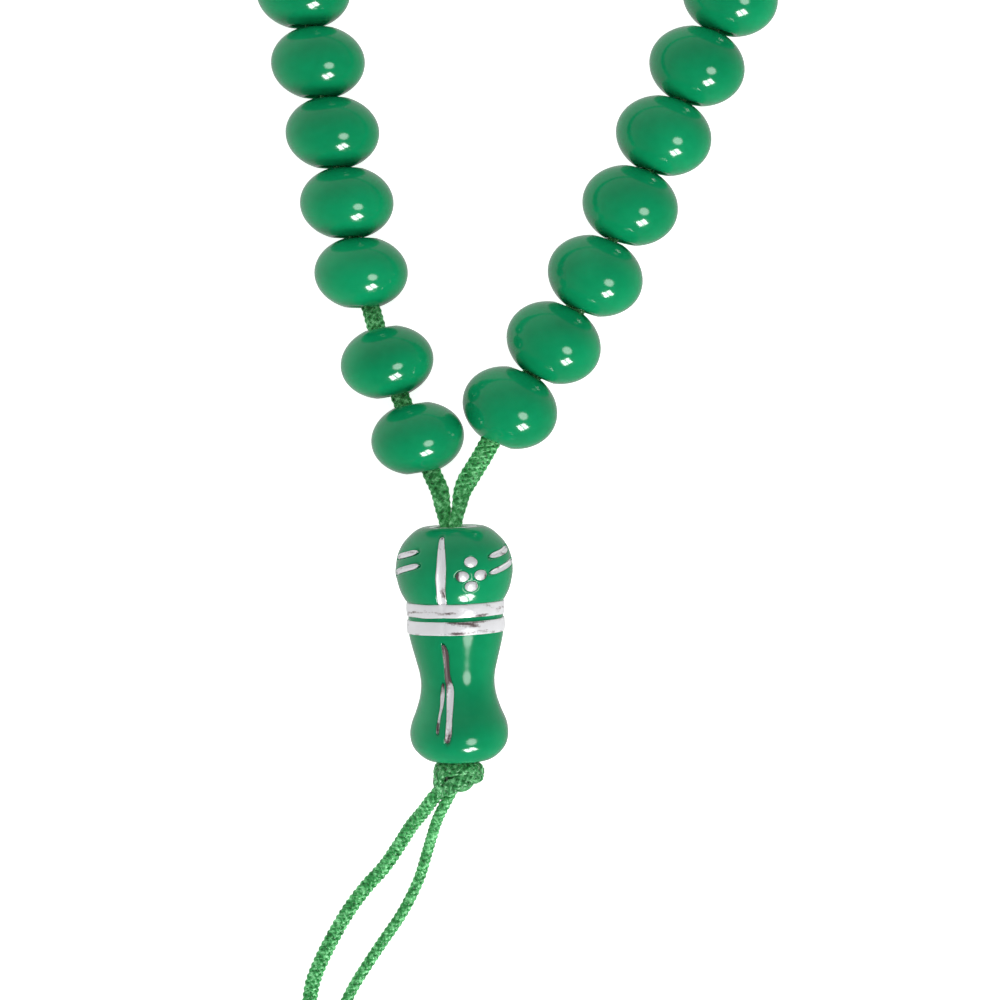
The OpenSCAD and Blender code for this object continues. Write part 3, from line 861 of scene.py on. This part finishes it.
def addLight(name, way, far, shift, turn, wide, tall, power):
    data = bpy.data.lights.new(name, "AREA")
    data.shape = "RECTANGLE"
    data.size = wide
    data.size_y = tall
    data.energy = power
    lamp = bpy.data.objects.new(name, data)
    bpy.context.scene.collection.objects.link(lamp)
    away = Vector(way).normalized()
    facing = away.to_track_quat("Z", "Y").to_matrix() @ Matrix.Rotation(math.radians(turn), 3, "Z")
    lamp.location = mouth + away * far + facing @ Vector((shift, 0, 0))
    lamp.rotation_euler = facing.to_euler()
    return lamp


def facingOf(paint, way, towards):
    inputs = {0: way, 1: towards}
    made = paint.node("ShaderNodeVectorMath", {"operation": "DOT_PRODUCT"}, inputs)
    return paint.out(made, "Value")


# Even light, but polished surfaces mirror a pale back wall, a dark ceiling and a lamp.
def makeRoom():
    world = bpy.data.worlds.new("studio")
    bpy.context.scene.world = world
    paint = Paint(world)
    way = paint.out(paint.node("ShaderNodeTexCoord", {}, {}), "Generated")
    height = paint.out(paint.node("ShaderNodeSeparateXYZ", {}, {"Vector": way}), "Z")
    toWall = facingOf(paint, way, studio["backWall"])
    mirrored = paint.ramp(toWall * 0.5 + (1 - height) * 0.5, studio["mirrored"])
    toLamp = facingOf(paint, way, studio["lampWay"].normalized())
    lampFrom, lampFull = studio["lampEdge"]
    glow = paint.node("ShaderNodeMapRange", {"interpolation_type": "SMOOTHSTEP"}, {
        "Value": toLamp, "From Min": lampFrom, "From Max": lampFull,
        "To Min": 0.0, "To Max": studio["lampGlow"]})
    lit = paint.node("ShaderNodeVectorMath", {"operation": "ADD"}, {
        0: mirrored, 1: paint.out(glow, "Result")})
    inGloss = paint.out(paint.node("ShaderNodeLightPath", {}, {}), "Is Glossy Ray")
    room = paint.node("ShaderNodeMix", {"data_type": "RGBA"}, {
        0: inGloss, 6: (*studio["around"], 1), 7: paint.out(lit, "Vector")})
    colour = Value(paint, room.outputs[2])      # inputs 6 and 7 and output 2 are its colours
    back = paint.node("ShaderNodeBackground", {}, {"Color": colour, "Strength": 1.0})
    paint.node("ShaderNodeOutputWorld", {}, {"Surface": paint.out(back, "Background")})


def makeStudio():
    bm = bmesh.new()
    bmesh.ops.create_grid(bm, x_segments=1, y_segments=1, size=studio["tableHalf"])
    table = newObject("table_top", bm, floorPaint())
    table.visible_glossy = False
    # a window with two panes, and a wide soft light that leaves no reflection
    for name, side in (("left pane", -1), ("right pane", 1)):
        addLight(name, studio["keyWay"], studio["keyFar"], side * studio["paneApart"],
                 studio["keyTurn"], studio["paneWide"], studio["paneTall"], studio["keyPower"])
    soft = addLight("soft top light", studio["topWay"], studio["topFar"], 0, 0,
                    studio["topSize"], studio["topSize"], studio["topPower"])
    soft.visible_glossy = False
    makeRoom()
    bpy.context.scene.view_settings.view_transform = "Standard"


makeCamera()
cordGreen = cordPaint("braided nylon")
# the knots use the same nylon painted darker, as painted shade
shadedKnotGreen = cordPaint("shaded knotted nylon")
endKnot = makeKnot("end_knot_braid", "end_knot", "tails",
                   knotWraps["endTurn"], knotWraps["endSize"], shadedKnotGreen)
makeTail("first", cordGreen)
makeTail("last", cordGreen)
print("free ends laid")
makeLoopCord(cordGreen)
makeKnot("knot_braid", "knot", "cord", 0, 1, shadedKnotGreen)
print("cord braided and knotted")

jade = jadePaint("polished jade")
seed = random.Random(stone["seed"])
for node in stoneNames:
    slot = "jade_bead" if node.startswith("bead") else "jade_divider"
    makeStone(node, seed, jade, slot)
print("beads and dividers strung")

makeImamBody(jadePaint("carved jade"))
bandFoil = foilPaint("band foil")
leafFoil = foilPaint("inlaid foil")
makeBand("upper", bandFoil)
makeBand("lower", bandFoil)
makeMouthRing(bandFoil)
makeFoil("foil_stripes", "imam_head_stripes", strokeFill("stripes"), leafFoil)
makeFoil("foil_dashes", "imam_head_dashes", strokeFill("dashes"), bandFoil)
makeFoil("foil_streaks", "imam_waist_streaks", strokeFill("streaks"), leafFoil)
makeFoil("foil_dots", "imam_head_dots", fillDots, leafFoil)
print("long bead carved and inlaid")

makeStudio()
print("table and lights set")
